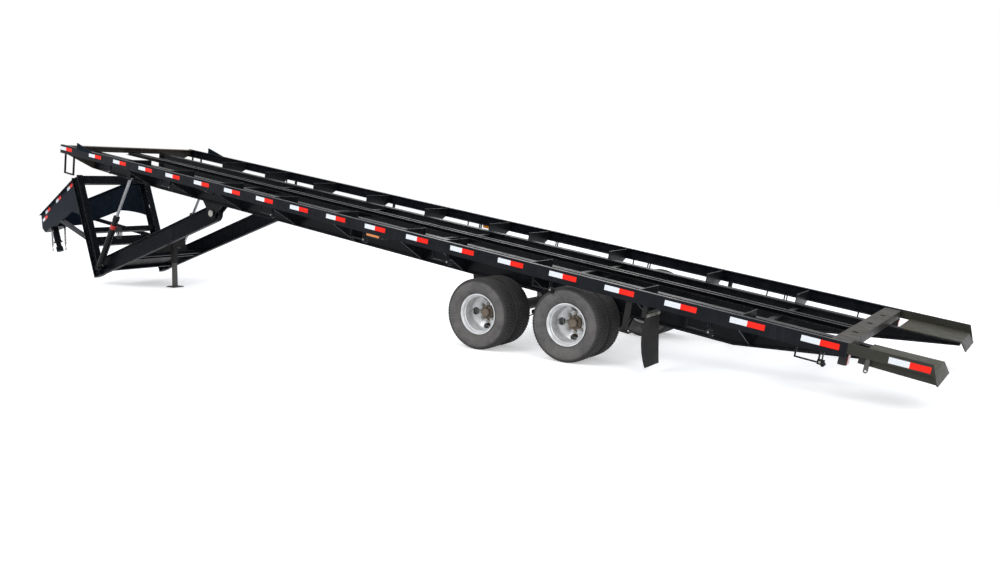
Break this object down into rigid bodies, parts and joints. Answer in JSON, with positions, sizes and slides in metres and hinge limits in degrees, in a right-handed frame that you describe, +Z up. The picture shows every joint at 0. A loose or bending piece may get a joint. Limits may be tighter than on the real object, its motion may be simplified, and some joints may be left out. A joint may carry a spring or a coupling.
{
  "type": "tilt-bed container trailer",
  "caption": "Low gooseneck trailer whose long open bed tilts on a folding neck with two lift cylinders, carried on dual wheels.",
  "frame": {"origin": "centre of the bounding box, on the floor that the wheels and the jack stand on", "axes": "+X forward to the coupler, +Y to the left side, +Z up"},
  "size_m": [14.6852, 2.464, 2.2378],
  "materials": {
    "frame_paint": "gloss black paint with a film of dust",
    "dusty_paint": "black paint worn dull and dusty",
    "chassis_black": "satin black chassis paint",
    "unit_paint": "satin black enclosure paint",
    "cylinder_paint": "gloss black cylinder paint",
    "rod_chrome": "polished chrome rod",
    "worn_steel": "bare steel, worn",
    "zinc_steel": "zinc plated steel",
    "tyre_rubber": "dusty black tyre",
    "rim_silver": "silver painted steel",
    "hub_bronze": "brown painted hub",
    "flap_rubber": "matt black rubber",
    "red_lens": "red lens",
    "amber_lens": "amber lens",
    "lamp_housing": "black lamp housing"
  },
  "bodies": {
    "bed": {"main_beams": "frame_paint", "side_rails": "frame_paint", "front_crossbar": "frame_paint", "crossmembers": "frame_paint", "centre_track": "frame_paint", "outriggers": "frame_paint", "rear_cross_tube": "frame_paint", "approach_plates": "dusty_paint", "front_guides": "frame_paint", "tie_loops": "frame_paint", "spring_hangers": "chassis_black", "leaf_springs": "chassis_black", "rockers": "chassis_black", "front_axle": "chassis_black", "rear_axle": "chassis_black", "flap_hangers": "frame_paint", "mudflap_left": "flap_rubber", "mudflap_right": "flap_rubber", "tail_lamps": "lamp_housing", "tail_lenses": "red_lens", "marker_lamps": "amber_lens", "tail_eyes": "worn_steel", "hinge_lugs": "frame_paint", "cylinder_brackets": "frame_paint"},
    "neck": {"neck_arms": "frame_paint", "neck_posts": "frame_paint", "neck_crossbars": "frame_paint", "cylinder_stubs": "frame_paint", "gooseneck_sides": "frame_paint", "gooseneck_nose": "frame_paint", "knee_braces": "frame_paint", "coupler": "frame_paint", "safety_chains": "zinc_steel", "power_unit": "unit_paint", "jack_body": "frame_paint", "jack_leg": "worn_steel"},
    "cylinder_left": {"barrel_left": "cylinder_paint"},
    "rod_left": {"rod_left": "rod_chrome"},
    "cylinder_right": {"barrel_right": "cylinder_paint"},
    "rod_right": {"rod_right": "rod_chrome"},
    "wheel_front_left": {"tyres_front_left": "tyre_rubber", "rims_front_left": "rim_silver", "hub_front_left": "hub_bronze"},
    "wheel_front_right": {"tyres_front_right": "tyre_rubber", "rims_front_right": "rim_silver", "hub_front_right": "hub_bronze"},
    "wheel_rear_left": {"tyres_rear_left": "tyre_rubber", "rims_rear_left": "rim_silver", "hub_rear_left": "hub_bronze"},
    "wheel_rear_right": {"tyres_rear_right": "tyre_rubber", "rims_rear_right": "rim_silver", "hub_rear_right": "hub_bronze"}
  },
  "joints": [
    {"name": "neck_fold", "type": "hinge", "parent": "bed", "child": "neck", "pos_m": [1.8315, 0, 1.25733], "axis": [0, 1, 0], "range_deg": [-27.5, 3]},
    {"name": "cylinder_left_swing", "type": "hinge", "parent": "neck", "child": "cylinder_left", "pos_m": [4.567, 0.722, 0.29427], "axis": [0, 1, 0], "range_deg": [-27.06, 3.84]},
    {"name": "rod_left_slide", "type": "slide", "parent": "cylinder_left", "child": "rod_left", "axis": [-0.5408, 0, 0.8412], "range_m": [-0.6537, 0.0758]},
    {"name": "cylinder_right_swing", "type": "hinge", "parent": "neck", "child": "cylinder_right", "pos_m": [4.567, -0.722, 0.29427], "axis": [0, 1, 0], "range_deg": [-27.06, 3.84]},
    {"name": "rod_right_slide", "type": "slide", "parent": "cylinder_right", "child": "rod_right", "axis": [-0.5408, 0, 0.8412], "range_m": [-0.6537, 0.0758]},
    {"name": "wheel_front_left_spin", "type": "hinge", "parent": "bed", "child": "wheel_front_left", "pos_m": [-3.02267, 0.944, 0.38], "axis": [0, 1, 0], "continuous": true},
    {"name": "wheel_front_right_spin", "type": "hinge", "parent": "bed", "child": "wheel_front_right", "pos_m": [-3.02267, -0.944, 0.38], "axis": [0, 1, 0], "continuous": true},
    {"name": "wheel_rear_left_spin", "type": "hinge", "parent": "bed", "child": "wheel_rear_left", "pos_m": [-4.07267, 0.944, 0.38], "axis": [0, 1, 0], "continuous": true},
    {"name": "wheel_rear_right_spin", "type": "hinge", "parent": "bed", "child": "wheel_rear_right", "pos_m": [-4.07267, -0.944, 0.38], "axis": [0, 1, 0], "continuous": true}
  ],
  "couplings": [
    {"joint": "cylinder_left_swing", "follows": "neck_fold", "ratio": 0.94749},
    {"joint": "rod_left_slide", "follows": "neck_fold", "m_per_rad": 1.3516},
    {"joint": "cylinder_right_swing", "follows": "neck_fold", "ratio": 0.94749},
    {"joint": "rod_right_slide", "follows": "neck_fold", "m_per_rad": 1.3516}
  ]
}
